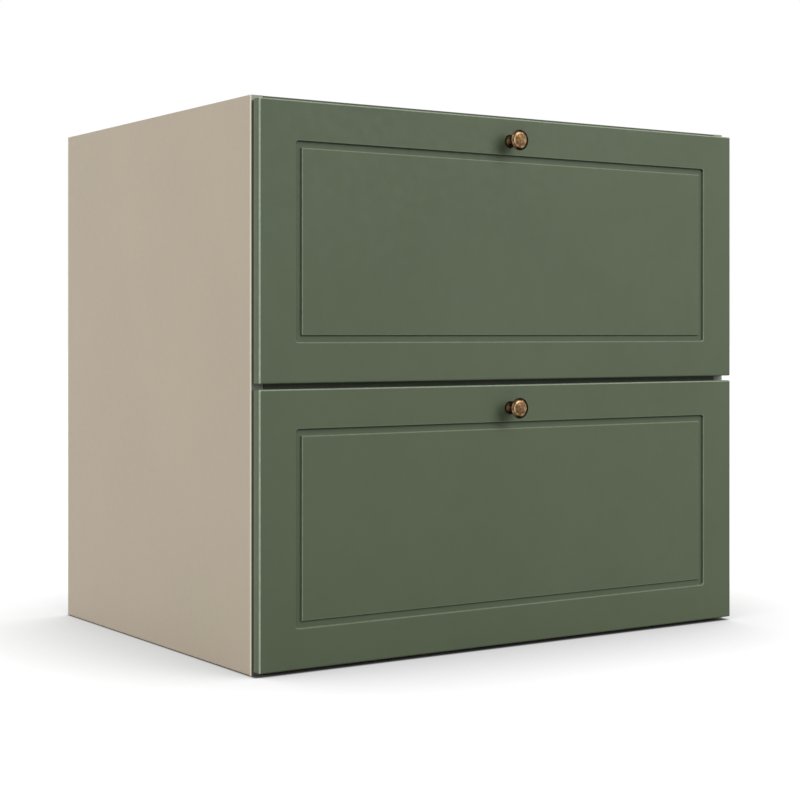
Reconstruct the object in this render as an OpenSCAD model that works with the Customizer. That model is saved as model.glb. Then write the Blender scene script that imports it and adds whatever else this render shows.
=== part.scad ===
// Kitchen base cabinet with two full-extension drawers.
// Millimetres. Z is up, the drawer fronts face -Y, and the origin is the centre of the underside.

/* [Carcass] */
// Width over both side panels
cabinet_w = 800; // [600:10:1000]
// Height, from the underside to the top edges
cabinet_h = 720; // [640:10:900]
// Depth of the carcass, without the drawer fronts
cabinet_d = 570; // [540:10:700]
// Thickness of the carcass boards
board_t = 18; // [16:1:22]
// Thickness of the edge bands
edge_t = 2; // [0.4:0.2:3]
// Depth of each rail, front to back
rail_d = 100; // [90:5:150]
// Thickness of the back panel
back_t = 3; // [3:1:6]
// Distance of the back panel from the rear edges
back_inset = 16; // [8:1:20]
// Depth of the side panels' grooves for the back panel
back_groove = 8; // [5:0.5:10]
// Distance of the back panel's lower and upper edges from the carcass ends
back_short = 2; // [1:0.5:5]

/* [Carcass fittings] */
// Distance of the cam rows from the front edge and from the back panel
fitting_in = 50; // [48:1:50]
// Distance from a cam to the dowel beside it
dowel_step = 32; // [25:1:34]
// Diameter of a cam lock
cam_d = 15; // [15:0.5:17]
// Distance from a cam's axis to the side panel
cam_in = 34; // [24:1:40]
// Depth of a cam beyond its bolt's axis
cam_beyond = 3.5; // [3.4:0.1:4.5]
// Diameter of a cam bolt's shaft
bolt_shaft_d = 6; // [5.8:0.2:7]
// Diameter of a cam bolt's thread
bolt_thread_d = 5; // [4:0.5:5.5]
// Length of a cam bolt's thread
bolt_thread_l = 11; // [8:0.5:12]
// Diameter of a cam bolt's neck
bolt_neck_d = 3.2; // [2.6:0.2:4]
// Diameter of a cam bolt's head
bolt_head_d = 5.6; // [5:0.2:6]
// Length of a cam bolt's head
bolt_head_l = 3; // [2:0.5:4]
// Diameter of a wood dowel
dowel_d = 8; // [6:1:10]
// Length of a wood dowel
dowel_l = 30; // [25:1:35]
// Depth of a dowel in the side panel
dowel_side = 10.5; // [8:0.5:12]
// Diameter of the worktop screw holes in the top rails
worktop_hole_d = 5; // [4:0.5:8]
// Distance of the worktop screw holes from the side panels
worktop_hole_in = 82; // [60:1:120]

/* [Drawer fronts] */
// Thickness of a drawer front
front_t = 16; // [16:1:22]
// Carcass edge left bare beside the fronts, on each side
side_reveal = 2; // [1:0.5:4]
// Carcass edge left bare above the upper front
top_reveal = 5; // [2:0.5:10]
// Carcass edge left bare below the lower front
bottom_reveal = 5; // [2:0.5:10]
// Gap between the two fronts
front_gap = 7; // [3:0.5:10]
// How much lower the lower front is than the upper one
lower_less = 3; // [0:0.5:6]
// Radius of the fronts' outer edges
front_edge_r = 2; // [1:0.5:4]
// Width of the plain frame left of the routed groove
stile_left_w = 52; // [40:1:80]
// Width of the plain frame right of the routed groove
stile_right_w = 54; // [40:1:80]
// Height of the plain frame above the routed groove
frame_top_w = 50; // [46:1:80]
// Height of the plain frame below the routed groove
frame_bottom_w = 51; // [40:1:80]
// Width of the routed groove at the surface
groove_w = 9; // [8:0.5:14]
// Width of the routed groove's floor
groove_floor = 8; // [3:0.5:8]
// Depth of the routed groove
groove_deep = 3; // [1:0.5:4]
// Thickness of the bumper pads between fronts and carcass
pad_t = 2.5; // [1.5:0.5:3]
// Diameter of a bumper pad
pad_d = 8; // [6:0.5:10]
// Distance of the bumper pads from a front's upper and lower edges
pad_in = 20; // [10:1:40]

/* [Knobs] */
// Diameter of the knob's cap
knob_d = 28; // [26:1:34]
// Diameter of the knob's base
knob_base_d = 18; // [17:0.5:22]
// Diameter of the knob's neck
knob_neck_d = 10; // [8:0.5:12]
// Distance from the front's face to the cap's underside
knob_neck_l = 15; // [13:0.5:20]
// Thickness of the cap's rim
knob_rim_t = 3; // [2:0.2:4]
// Rise of the cap's dome
knob_dome = 2.4; // [1.5:0.1:4]
// Distance of a knob's axis below its front's upper edge
knob_drop = 31; // [28:0.5:38]
// Distance of the knobs' axis left of the cabinet's middle
knob_left = 11; // [0:1:40]
// Diameter of the knob screw
knob_screw_d = 4; // [3:0.5:4]
// Length of the knob screw's thread inside the knob
knob_screw_in = 9; // [6:0.5:11]

/* [Drawer boxes] */
// Length of a drawer box, front to back
box_d = 500; // [490:5:520]
// Height of a drawer box
box_h = 220; // [140:10:230]
// Thickness of the drawer box's boards
box_t = 16; // [15:1:18]
// Height of the drawer box above its front's lower edge
box_lift = 29; // [25:1:36]
// Thickness of the drawer box's floor
floor_t = 8; // [6:1:8]
// Height of the floor above the box's lower edge
floor_up = 12; // [10:1:16]
// Depth of the grooves that hold the floor
floor_groove = 8; // [5:0.5:9]

/* [Slides] */
// Length of a drawer slide, and its travel
slide_l = 500; // [450:50:500]
// Height of a slide's outer member
slide_h = 45.5; // [44:0.5:48]
// Side clearance that a slide fills
slide_w = 12.7; // [12.7:0.1:13.5]
// Distance of a slide behind the carcass's front edge
slide_inset = 2; // [1:0.5:4]
// Height of a slide's axis above the box's lower edge
slide_up = 64; // [58:1:80]
// Sheet thickness of the outer member
outer_t = 1.2; // [1:0.1:1.3]
// Sheet thickness of the intermediate and inner members
member_t = 1; // [0.8:0.1:1.1]
// Distance of the intermediate member's web from the side panel
mid_u = 3.6; // [3.5:0.05:3.8]
// How much shorter the intermediate member is than the slide
mid_short = 10; // [6:1:20]
// How much shorter the inner member is than the slide
inner_short = 6; // [2:1:10]
// Diameter of a slide's balls
ball_d = 3; // [2.8:0.1:3.1]
// Balls in one row
ball_count = 8; // [4:1:9]
// Distance between neighbouring balls
ball_pitch = 28; // [20:1:28]
// Length of a ball cage
cage_l = 216; // [205:1:225]
// Sheet thickness of a ball cage
cage_t = 0.4; // [0.3:0.05:0.5]

/* [Wood screws] */
// Diameter of the slide and back panel screws
small_screw_d = 3.5; // [3:0.1:4]
// Length of the screws of the outer members
outer_screw_l = 16; // [12:1:16]
// Length of the screws of the inner members
inner_screw_l = 12; // [8:1:14]
// Length of the back panel screws
back_screw_l = 20; // [16:1:30]
// Diameter of the box and front screws
box_screw_d = 4; // [3.5:0.1:4.5]
// Length of the screws through the box sides
box_screw_l = 40; // [35:1:50]
// Length of the screws from the box into the front
front_screw_l = 25; // [22:1:28]
// Distance of the front screws from the box sides
front_screw_in = 93; // [60:1:110]

/* [Clearances] */
// Radial play of screws, bolts, dowels and cams in their holes
fit = 0.05; // [0.02:0.01:0.1]
// Play of boards in their grooves
groove_play = 0.1; // [0.05:0.05:0.2]
// Room at the end of a blind hole or groove
end_room = 0.5; // [0.2:0.1:1]
// Play of a ball between its races
ball_play = 0.1; // [0.08:0.01:0.12]
// Play of a cage beside a slide's web
cage_play = 0.3; // [0.2:0.05:0.3]
// Play of a cam round the bolt's neck
cam_play = 0.3; // [0.2:0.05:0.4]
// Radial room of a screw in a hole that it only passes through
pass_room = 0.5; // [0.3:0.1:0.8]

/* [Hidden] */
$fn = 48;
past = 1;

beige = [0.72, 0.66, 0.59];
edge_beige = [0.83, 0.80, 0.73];
green = [0.36, 0.40, 0.33];
white_board = [0.86, 0.86, 0.84];
zinc = [0.72, 0.73, 0.74];
brass = [0.51, 0.37, 0.24];
beech = [0.80, 0.66, 0.46];
rubber = [0.25, 0.25, 0.25];

// Planes of the carcass
x_in = cabinet_w / 2 - board_t;
y_front = -cabinet_d / 2;
y_back = cabinet_d / 2;
y_panel = y_back - back_inset - back_t;
z_bottom = board_t / 2;
z_top = cabinet_h - board_t / 2;

// Fittings that join the sides to the bottom panel and the rails
row_front = y_front + fitting_in;
row_back = y_panel - fitting_in;
rows = [row_front, row_back];
cam_h = board_t / 2 + cam_beyond;
cam_x = x_in - cam_in;
dowel_ys = [for (row = rows, s = [-1, 1]) row + s * dowel_step];
worktop_x = x_in - worktop_hole_in;
back_screw_xs = [for (k = [-3, -1, 1, 3]) k * worktop_x / 3];

// Drawer fronts, lower then upper
LOWER = 0;
UPPER = 1;
y_rear = y_front - pad_t;
y_face = y_rear - front_t;
front_w = cabinet_w - 2 * side_reveal;
function front_h(n) =
    (cabinet_h - top_reveal - bottom_reveal - front_gap - lower_less) / 2 + n * lower_less;
function front_z(n) = bottom_reveal + n * (front_h(LOWER) + front_gap);
function knob_z(n) = front_z(n) + front_h(n) - knob_drop;
z_mid = front_z(UPPER) - front_gap / 2;
pad_x = x_in + board_t / 2;
knob_rim_r = knob_rim_t / 2;

// Drawer boxes
box_x = x_in - slide_w;
box_in = box_x - box_t;
y_box_end = y_rear + box_d;
function box_z(n) = front_z(n) + box_lift;
box_screw_ups = [slide_up - 30, (slide_up + box_h) / 2 - 30, box_h - 30];
front_screw_x = box_in - front_screw_in;
front_screw_ups = [slide_up - 4, box_h - 50];

// Slides: u is the distance from the side panel, v the height from the slide's axis
function slide_z(n) = box_z(n) + slide_up;
y_slide = y_front + slide_inset;
travel = slide_l;
mid_l = slide_l - mid_short;
y_mid = y_slide + mid_short / 5;
inner_l = slide_l - inner_short;
race = ball_d / 2 + ball_play;
lip_room = 0.8;
race_flank = 30;
race_lip = 15;
swing = 60;
overlap = 2;
bend_r = 0.4;
outer_ball = [slide_w - lip_room - outer_t - race, slide_h / 2 - outer_t - race];
inner_ball = outer_ball - (2 * race + member_t) * [cos(swing), sin(swing)];
flank = race * [cos(race_flank), sin(race_flank)];
mid_web_in = mid_u + member_t;
inner_cage_u = mid_web_in + cage_play;
outer_cage_u = mid_u - cage_play - cage_t;
outer_cage_end = outer_ball[0] + race + cage_play;
inner_cage_end = inner_ball[0] + race + 2 * cage_play;
slide_step = 32;
first_hole = 37;
hole_steps = floor((slide_l - first_hole - slide_step / 2) / slide_step);
outer_screw_ys = [for (k = [0, floor(hole_steps / 2), hole_steps]) y_front + first_hole + k * slide_step];
inner_hole_in = 40;
inner_screw_ys = [for (k = [inner_hole_in, inner_l / 2, inner_l - inner_hole_in]) y_slide + k];
// A cage stays inside both members that it runs between, also with the drawer fully out
outer_cage_y = (y_slide + y_mid + mid_l - travel / 2) / 2 + travel / 4;
inner_cage_y = (y_mid - travel / 2 + y_slide + inner_l - travel) / 2 + travel * 3 / 4;

// Screw heads
small_head_d = 7;
small_head_h = 1.4;
front_head_d = 8;
front_head_h = 2.2;
sunk_head_d = 8;
knob_head_d = 8;
knob_head_h = 2.4;
drive_w = 0.8;

// A block between two planes along each axis
module block(x, y, z) {
    translate([x[0], y[0], z[0]])
        cube([x[1] - x[0], y[1] - y[0], z[1] - z[0]]);
}

// Everything is drawn for the left side, and the right side mirrors it
module on_side(side) {
    if (side == "left") children();
    if (side == "right") mirror([1, 0, 0]) children();
}

module on_both_sides() {
    on_side("left") children();
    on_side("right") children();
}

// Turns what points down -Z to point along an axis
module pointing(way) {
    if (way == "left") rotate([0, 90, 0]) children();
    if (way == "right") rotate([0, -90, 0]) children();
    if (way == "front") rotate([-90, 0, 0]) children();
}

// Cross recess in a screw head, cut down from its top
module drive_recess(wide, deep) {
    for (a = [0, 90])
        rotate([0, 0, a])
            translate([-wide / 2, -drive_w / 2, -deep])
                cube([wide, drive_w, deep + past]);
}

// Shank with a pointed end, seat at z = 0
module shank(d, l) {
    translate([0, 0, d - l])
        cylinder(d = d, h = l - d);
    translate([0, 0, -l])
        cylinder(d1 = d / 4, d2 = d, h = d);
}

// Screw with a flat round head above its seat
module pan_screw(d, l, head_d, head_h) {
    difference() {
        union() {
            shank(d, l);
            cylinder(d = head_d, h = head_h);
        }
        translate([0, 0, head_h])
            drive_recess(head_d / 2, head_h / 2);
    }
}

// Screw whose head is sunk flush with the seat
module sunk_screw(d, l, head_d) {
    head_h = (head_d - d) / 2;
    difference() {
        union() {
            shank(d, l);
            translate([0, 0, -head_h])
                cylinder(d1 = d, d2 = head_d, h = head_h);
        }
        drive_recess(head_d / 2, head_h / 2);
    }
}

module screw_hole(d, l) {
    translate([0, 0, -l - end_room])
        cylinder(d = d + 2 * fit, h = l + end_room + past);
}

module sunk_hole(d, l, head_d) {
    screw_hole(d, l);
    head_h = (head_d - d) / 2;
    translate([0, 0, -head_h])
        cylinder(d1 = d + 2 * fit, d2 = head_d + 2 * fit, h = head_h);
    cylinder(d = head_d + 2 * fit, h = past);
}

// Cylinder along X between two planes
module rod(x, d) {
    translate([x[0], 0, 0])
        rotate([0, 90, 0])
            cylinder(d = d, h = x[1] - x[0]);
}

// Each cam spot of the left side, drawn from the board's outer face inward
module at_cams() {
    for (y = rows) {
        translate([-cam_x, y, 0])
            children();
        translate([-cam_x, y, cabinet_h])
            mirror([0, 0, 1])
                children();
    }
    translate([-cam_x, row_front, z_mid - board_t / 2])
        children();
}

// Each dowel spot of the left side
module at_dowels() {
    for (y = dowel_ys, z = [z_bottom, z_top])
        translate([-x_in, y, z])
            children();
    for (s = [-1, 1])
        translate([-x_in, row_front + s * dowel_step, z_mid])
            children();
}

// Each slide screw of one outer member, seen from the side panel's inner face
module at_outer_screws(n) {
    for (y = outer_screw_ys)
        translate([-x_in, y, slide_z(n)])
            children();
}

module at_inner_screws(n) {
    for (y = inner_screw_ys)
        translate([-box_x, y, slide_z(n)])
            children();
}

module side_panel(side) {
    color(beige)
        on_side(side)
            difference() {
                block([-cabinet_w / 2, -x_in], [y_front + edge_t, y_back], [0, cabinet_h]);
                block([-x_in - back_groove, -x_in + past],
                    [y_panel - groove_play, y_panel + back_t + groove_play], [-past, cabinet_h + past]);
                at_dowels()
                    rod([-dowel_side - end_room, past], dowel_d + 2 * fit);
                at_cams()
                    translate([-cam_in, 0, board_t / 2])
                        rod([-bolt_thread_l - end_room, past], bolt_thread_d + 2 * fit);
                for (n = [LOWER, UPPER])
                    at_outer_screws(n)
                        pointing("left")
                            screw_hole(small_screw_d, outer_screw_l - outer_t);
            }
}

// Holes in the end of a board that a side panel is joined to
module end_holes() {
    on_both_sides() {
        at_dowels()
            rod([-past, dowel_l - dowel_side + end_room], dowel_d + 2 * fit);
        at_cams() {
            translate([0, 0, -past])
                cylinder(d = cam_d + 2 * fit, h = cam_h + end_room + past);
            translate([0, 0, board_t / 2])
                rod([-cam_in - past, 0], bolt_shaft_d + 2 * pass_room);
        }
    }
}

module back_screw_holes() {
    for (x = back_screw_xs, z = [z_bottom, z_top])
        translate([x, y_panel + back_t, z])
            pointing("front")
                screw_hole(small_screw_d, back_screw_l);
}

module bottom_panel() {
    color(beige)
        difference() {
            block([-x_in, x_in], [y_front + edge_t, y_panel], [0, board_t]);
            end_holes();
            back_screw_holes();
        }
}

module top_rail(y0, y1) {
    color(beige)
        difference() {
            block([-x_in, x_in], [y0, y1], [cabinet_h - board_t, cabinet_h]);
            end_holes();
            back_screw_holes();
            for (x = [-worktop_x, worktop_x], y = rows)
                translate([x, y, cabinet_h - board_t - past])
                    cylinder(d = worktop_hole_d, h = board_t + 2 * past);
        }
}

// Rail behind the gap between the two fronts
module mid_rail() {
    color(beige)
        difference() {
            block([-x_in, x_in], [y_front + edge_t, y_front + rail_d],
                [z_mid - board_t / 2, z_mid + board_t / 2]);
            end_holes();
        }
}

module back_panel() {
    reach = x_in + back_groove - end_room;
    color(beige)
        difference() {
            block([-reach, reach], [y_panel, y_panel + back_t], [back_short, cabinet_h - back_short]);
            back_screw_holes();
        }
}

module side_edge(side) {
    color(edge_beige)
        on_side(side)
            block([-cabinet_w / 2, -x_in], [y_front, y_front + edge_t], [0, cabinet_h]);
}

// Edge band across the front, between the side panels
module cross_edge(z0) {
    color(edge_beige)
        block([-x_in, x_in], [y_front, y_front + edge_t], [z0, z0 + board_t]);
}

// The cam holds the bolt's head in a pocket, and its claws go round the bolt's neck
module cam_locks() {
    pocket_d = bolt_head_d + 12 * cam_play;
    pocket_h = bolt_head_d + 2 * cam_play;
    claw_gap = bolt_neck_d + 2 * cam_play;
    sunk = end_room / 2;
    color(zinc)
        on_both_sides()
            at_cams()
                difference() {
                    translate([0, 0, sunk])
                        cylinder(d = cam_d, h = cam_h - sunk);
                    translate([0, 0, (board_t - pocket_h) / 2])
                        cylinder(d = pocket_d, h = pocket_h);
                    translate([-cam_d, -claw_gap / 2, (board_t - pocket_h) / 2])
                        cube([cam_d, claw_gap, pocket_h]);
                    translate([-pocket_h / 2, 0, (board_t - pocket_h) / 2])
                        cube([pocket_h, cam_d, pocket_h]);
                    translate([0, 0, sunk])
                        mirror([0, 0, 1])
                            drive_recess(cam_d / 2, 2 * drive_w);
                }
}

module cam_bolts() {
    shaft_end = cam_in - cam_d / 2 - cam_play;
    color(zinc)
        on_both_sides()
            at_cams()
                translate([-cam_in, 0, board_t / 2]) {
                    rod([-bolt_thread_l, 0], bolt_thread_d);
                    rod([0, shaft_end], bolt_shaft_d);
                    rod([shaft_end, cam_in - bolt_head_l / 2], bolt_neck_d);
                    rod([cam_in - bolt_head_l / 2, cam_in + bolt_head_l / 2], bolt_head_d);
                }
}

module wood_dowels() {
    bevel = 1;
    color(beech)
        on_both_sides()
            at_dowels()
                translate([-dowel_side, 0, 0])
                    rotate([0, 90, 0])
                        rotate_extrude()
                            polygon([
                                [0, 0],
                                [dowel_d / 2 - bevel, 0],
                                [dowel_d / 2, bevel],
                                [dowel_d / 2, dowel_l - bevel],
                                [dowel_d / 2 - bevel, dowel_l],
                                [0, dowel_l]
                            ]);
}

module back_screws() {
    color(zinc)
        for (x = back_screw_xs, z = [z_bottom, z_top])
            translate([x, y_panel + back_t, z])
                pointing("front")
                    pan_screw(small_screw_d, back_screw_l, small_head_d, small_head_h);
}

// Screws that hold the outer members to the side panels
module slide_screws() {
    color(zinc)
        on_both_sides()
            for (n = [LOWER, UPPER])
                at_outer_screws(n)
                    translate([outer_t, 0, 0])
                        pointing("left")
                            pan_screw(small_screw_d, outer_screw_l, small_head_d, small_head_h);
}

// Bent sheet: part of a ring from one angle to another
module bend(at, r, t, from, to) {
    steps = 4;
    translate(at)
        intersection() {
            difference() {
                circle(r = r + t);
                circle(r = r);
            }
            polygon([
                [0, 0],
                for (i = [0:steps])
                    let (a = from + (to - from) * i / steps)
                    2 * (r + t) * [cos(a), sin(a)]
            ]);
        }
}

module strip(u, v) {
    translate([u[0], v[0]])
        square([u[1] - u[0], v[1] - v[0]]);
}

module both_halves() {
    children();
    mirror([0, 1])
        children();
}

// Outer member: a channel whose flanges end in races over the outer balls
module outer_profile() {
    flange_v = outer_ball[1] + flank[1];
    corner = [outer_t + bend_r, flange_v - bend_r];
    both_halves() {
        strip([0, outer_t], [-past, corner[1]]);
        bend(corner, bend_r, outer_t, 90 - overlap, 180 + overlap);
        strip([corner[0], outer_ball[0] - flank[0]], [flange_v, flange_v + outer_t]);
        bend(outer_ball, race, outer_t, race_lip, 180 - race_flank + overlap);
    }
}

// Intermediate member: each flange caps the inner balls, then turns up to carry the outer balls
module mid_profile() {
    flange_v = inner_ball[1] + flank[1];
    corner = [mid_web_in + bend_r, flange_v - bend_r];
    both_halves() {
        strip([mid_u, mid_web_in], [-past, corner[1]]);
        bend(corner, bend_r, member_t, 90 - overlap, 180 + overlap);
        strip([corner[0], inner_ball[0] - flank[0]], [flange_v, flange_v + member_t]);
        bend(inner_ball, race, member_t, swing - overlap, 180 - race_flank + overlap);
        bend(outer_ball, race, member_t, 180 + swing - overlap, 360 - race_flank);
    }
}

// Inner member: a channel whose flanges end in races under the inner balls
module inner_profile() {
    flange_v = inner_ball[1] - flank[1] - member_t;
    corner = [slide_w - member_t - bend_r, flange_v - bend_r];
    both_halves() {
        strip([slide_w - member_t, slide_w], [-past, corner[1]]);
        bend(corner, bend_r, member_t, -overlap, 90 + overlap);
        strip([inner_ball[0] + flank[0], corner[0]], [flange_v, flange_v + member_t]);
        bend(inner_ball, race, member_t, 180 + swing, 360 - race_flank + overlap);
    }
}

// Ball cage: a thin channel that holds both rows of balls at their middles
module cage_profile(u0, u1, v) {
    both_halves() {
        strip([u0, u0 + cage_t], [-past, v + cage_t / 2]);
        strip([u0, u1], [v - cage_t / 2, v + cage_t / 2]);
    }
}

// Stands a slide profile on the left side panel and runs it back from y
module run_slide(n, y, l) {
    translate([-x_in, y + l, slide_z(n)])
        rotate([90, 0, 0])
            linear_extrude(l)
                children();
}

module outer_member(n, side) {
    color(zinc)
        on_side(side)
            difference() {
                run_slide(n, y_slide, slide_l)
                    outer_profile();
                at_outer_screws(n)
                    rod([-past, outer_t + past], small_screw_d + 2 * pass_room);
            }
}

module mid_member(n, side) {
    access_d = small_head_d + 2 * pass_room;
    color(zinc)
        on_side(side)
            difference() {
                run_slide(n, y_mid, mid_l)
                    mid_profile();
                for (y = outer_screw_ys)
                    if (y + access_d / 2 < y_mid + mid_l)
                        translate([-x_in + mid_u, y, slide_z(n)])
                            rod([-past, member_t + past], access_d);
            }
}

module inner_member(n, side) {
    color(zinc)
        on_side(side)
            difference() {
                run_slide(n, y_slide, inner_l)
                    inner_profile();
                at_inner_screws(n)
                    rod([-member_t - past, past], small_screw_d + 2 * pass_room);
            }
}

// Each ball of one cage, in both rows
module at_balls(n, middle, ball) {
    for (i = [0:ball_count - 1], s = [-1, 1])
        translate([
            -x_in + ball[0],
            middle + (i - (ball_count - 1) / 2) * ball_pitch,
            slide_z(n) + s * ball[1]
        ])
            children();
}

module cages(n, middle, ball, u0, u1) {
    color(zinc)
        on_both_sides()
            difference() {
                run_slide(n, middle - cage_l / 2, cage_l)
                    cage_profile(u0, u1, ball[1]);
                at_balls(n, middle, ball)
                    translate([0, 0, -cage_t])
                        cylinder(d = ball_d + 2 * fit, h = 2 * cage_t);
            }
}

module balls(n, middle, ball) {
    color(zinc)
        on_both_sides()
            at_balls(n, middle, ball)
                sphere(d = ball_d);
}

// Front with its outer edges rounded: two rounded profiles, run along X and along Z
module rounded_front(h) {
    module face_profile(w) {
        strip([-w / 2, w / 2], [front_edge_r, front_t]);
        strip([front_edge_r - w / 2, w / 2 - front_edge_r], [0, front_t]);
        for (s = [-1, 1])
            translate([s * (w / 2 - front_edge_r), front_edge_r])
                circle(r = front_edge_r);
    }
    intersection() {
        translate([0, y_face, 0])
            linear_extrude(h)
                face_profile(front_w);
        translate([-front_w / 2, y_face, h / 2])
            rotate([90, 0, 90])
                linear_extrude(front_w)
                    rotate(90)
                        mirror([0, 1])
                            face_profile(h);
    }
}

// Routed groove: the cutter's path round the middle field, with the cutter's round corners
module routed_groove(h) {
    xs = [stile_left_w - (front_w - groove_w) / 2, (front_w - groove_w) / 2 - stile_right_w];
    zs = [frame_bottom_w + groove_w / 2, h - frame_top_w - groove_w / 2];
    slope = (groove_w - groove_floor) / 2 / groove_deep;
    module cutter_profile() {
        polygon([
            [-groove_w / 2 - slope * past, -past],
            [groove_w / 2 + slope * past, -past],
            [groove_floor / 2, groove_deep],
            [-groove_floor / 2, groove_deep]
        ]);
    }
    translate([0, y_face, 0]) {
        for (z = zs)
            translate([xs[0], 0, z])
                rotate([90, 0, 90])
                    linear_extrude(xs[1] - xs[0])
                        rotate(90)
                            mirror([0, 1])
                                cutter_profile();
        for (x = xs)
            translate([x, 0, zs[0]])
                linear_extrude(zs[1] - zs[0])
                    cutter_profile();
        for (x = xs, z = zs)
            translate([x, groove_deep, z])
                rotate([90, 0, 0])
                    cylinder(d1 = groove_floor, d2 = groove_w + 2 * slope * past,
                        h = groove_deep + past);
    }
}

module drawer_front(n) {
    color(green)
        difference() {
            translate([0, 0, front_z(n)])
                difference() {
                    rounded_front(front_h(n));
                    routed_groove(front_h(n));
                }
            translate([-knob_left, y_face - past, knob_z(n)])
                rotate([-90, 0, 0])
                    cylinder(d = knob_screw_d + 2 * pass_room, h = front_t + 2 * past);
            at_front_screws(n)
                screw_hole(box_screw_d, front_screw_l);
        }
}

// Each front screw, seen from the inside of the box front
module at_front_screws(n) {
    for (x = [-front_screw_x, front_screw_x], up = front_screw_ups)
        translate([x, y_rear + box_t, box_z(n) + up])
            pointing("front")
                children();
}

// Each screw through the left box side
module at_box_screws(n) {
    for (y = [y_rear + box_t / 2, y_box_end - box_t / 2], up = box_screw_ups)
        translate([-box_x, y, box_z(n) + up])
            pointing("right")
                children();
}

// Groove round the inside of the box that holds its floor
module floor_slot(n) {
    reach = box_in + floor_groove;
    block([-reach, reach],
        [y_rear + box_t - floor_groove, y_box_end - box_t + floor_groove],
        [box_z(n) + floor_up, box_z(n) + floor_up + floor_t + 2 * groove_play]);
}

module box_side(n, side) {
    color(white_board)
        on_side(side)
            difference() {
                block([-box_x, -box_in], [y_rear, y_box_end], [box_z(n), box_z(n) + box_h]);
                floor_slot(n);
                at_box_screws(n)
                    sunk_hole(box_screw_d, box_screw_l, sunk_head_d);
                at_inner_screws(n)
                    pointing("right")
                        screw_hole(small_screw_d, inner_screw_l - member_t);
            }
}

module box_cross(n, y0, y1) {
    color(white_board)
        difference() {
            block([-box_in, box_in], [y0, y1], [box_z(n), box_z(n) + box_h]);
            floor_slot(n);
            on_both_sides()
                at_box_screws(n)
                    screw_hole(box_screw_d, box_screw_l);
            at_front_screws(n)
                screw_hole(box_screw_d, front_screw_l);
        }
}

module box_floor(n) {
    reach = box_in + floor_groove - end_room;
    z0 = box_z(n) + floor_up;
    color(white_board)
        block([-reach, reach],
            [y_rear + box_t - floor_groove + end_room, y_box_end - box_t + floor_groove - end_room],
            [z0, z0 + floor_t]);
}

module box_screws(n) {
    color(zinc)
        on_both_sides()
            at_box_screws(n)
                sunk_screw(box_screw_d, box_screw_l, sunk_head_d);
}

module front_screws(n) {
    color(zinc)
        at_front_screws(n)
            pan_screw(box_screw_d, front_screw_l, front_head_d, front_head_h);
}

// Screws that hold the inner members to the drawer box
module member_screws(n) {
    color(zinc)
        on_both_sides()
            at_inner_screws(n)
                translate([-member_t, 0, 0])
                    pointing("right")
                        pan_screw(small_screw_d, inner_screw_l, small_head_d, small_head_h);
}

module bumper_pads(n) {
    color(rubber)
        for (x = [-pad_x, pad_x], z = [pad_in, front_h(n) - pad_in])
            translate([x, y_front, front_z(n) + z])
                rotate([90, 0, 0])
                    cylinder(d = pad_d, h = pad_t);
}

// Knob: base, waisted neck, cap with a bead round a shallow dome, blind hole for its screw
module knob(n) {
    base_t = 1.6;
    base_r = knob_base_d / 2;
    bead_at = [knob_d / 2 - knob_rim_r, knob_neck_l + 2 * knob_rim_t - 0.1];
    cap_v = bead_at[1] + knob_rim_r - 0.2;
    cap_r = bead_at[0];
    waist_r = (knob_neck_l - base_t) / 2 + 2;
    waist_at = [knob_neck_d / 2 + waist_r, (knob_neck_l + base_t) / 2];
    dome_r = (cap_r * cap_r + knob_dome * knob_dome) / (2 * knob_dome);
    module profile() {
        difference() {
            union() {
                strip([0, base_r - base_t / 2], [0, base_t]);
                translate([base_r - base_t / 2, base_t / 2])
                    circle(d = base_t);
                difference() {
                    strip([0, base_r - base_t / 2], [base_t / 2, knob_neck_l + base_t / 2]);
                    translate(waist_at)
                        circle(r = waist_r);
                }
                polygon([
                    [0, knob_neck_l],
                    [base_r - base_t, knob_neck_l],
                    [cap_r, bead_at[1] - knob_rim_r / 2],
                    [cap_r, cap_v],
                    [0, cap_v]
                ]);
                translate(bead_at)
                    circle(r = knob_rim_r);
                intersection() {
                    translate([0, cap_v + knob_dome - dome_r])
                        circle(r = dome_r);
                    strip([0, cap_r], [bead_at[1], cap_v + 2 * knob_dome]);
                }
            }
            strip([-past, knob_screw_d / 2 + fit], [-past, knob_screw_in + end_room]);
        }
    }
    color(brass)
        translate([-knob_left, y_face, knob_z(n)])
            rotate([90, 0, 0])
                rotate_extrude()
                    profile();
}

module knob_screw(n) {
    color(zinc)
        translate([-knob_left, y_rear, knob_z(n)])
            pointing("front")
                difference() {
                    union() {
                        translate([0, 0, -front_t - knob_screw_in])
                            cylinder(d = knob_screw_d, h = front_t + knob_screw_in);
                        cylinder(d = knob_head_d, h = knob_head_h);
                    }
                    translate([0, 0, knob_head_h])
                        drive_recess(knob_head_d / 2, knob_head_h / 2);
                }
}

side_panel("left");  // side_panel_left
side_panel("right");  // side_panel_right
bottom_panel();
top_rail(y_front + edge_t, y_front + rail_d);  // top_rail_front
top_rail(y_panel - rail_d, y_panel);  // top_rail_back
mid_rail();
back_panel();
side_edge("left");  // side_edge_left
side_edge("right");  // side_edge_right
cross_edge(0);  // bottom_edge
union() {  // rail_edges
    cross_edge(cabinet_h - board_t);
    cross_edge(z_mid - board_t / 2);
}
cam_locks();
cam_bolts();
wood_dowels();
back_screws();
slide_screws();

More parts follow.
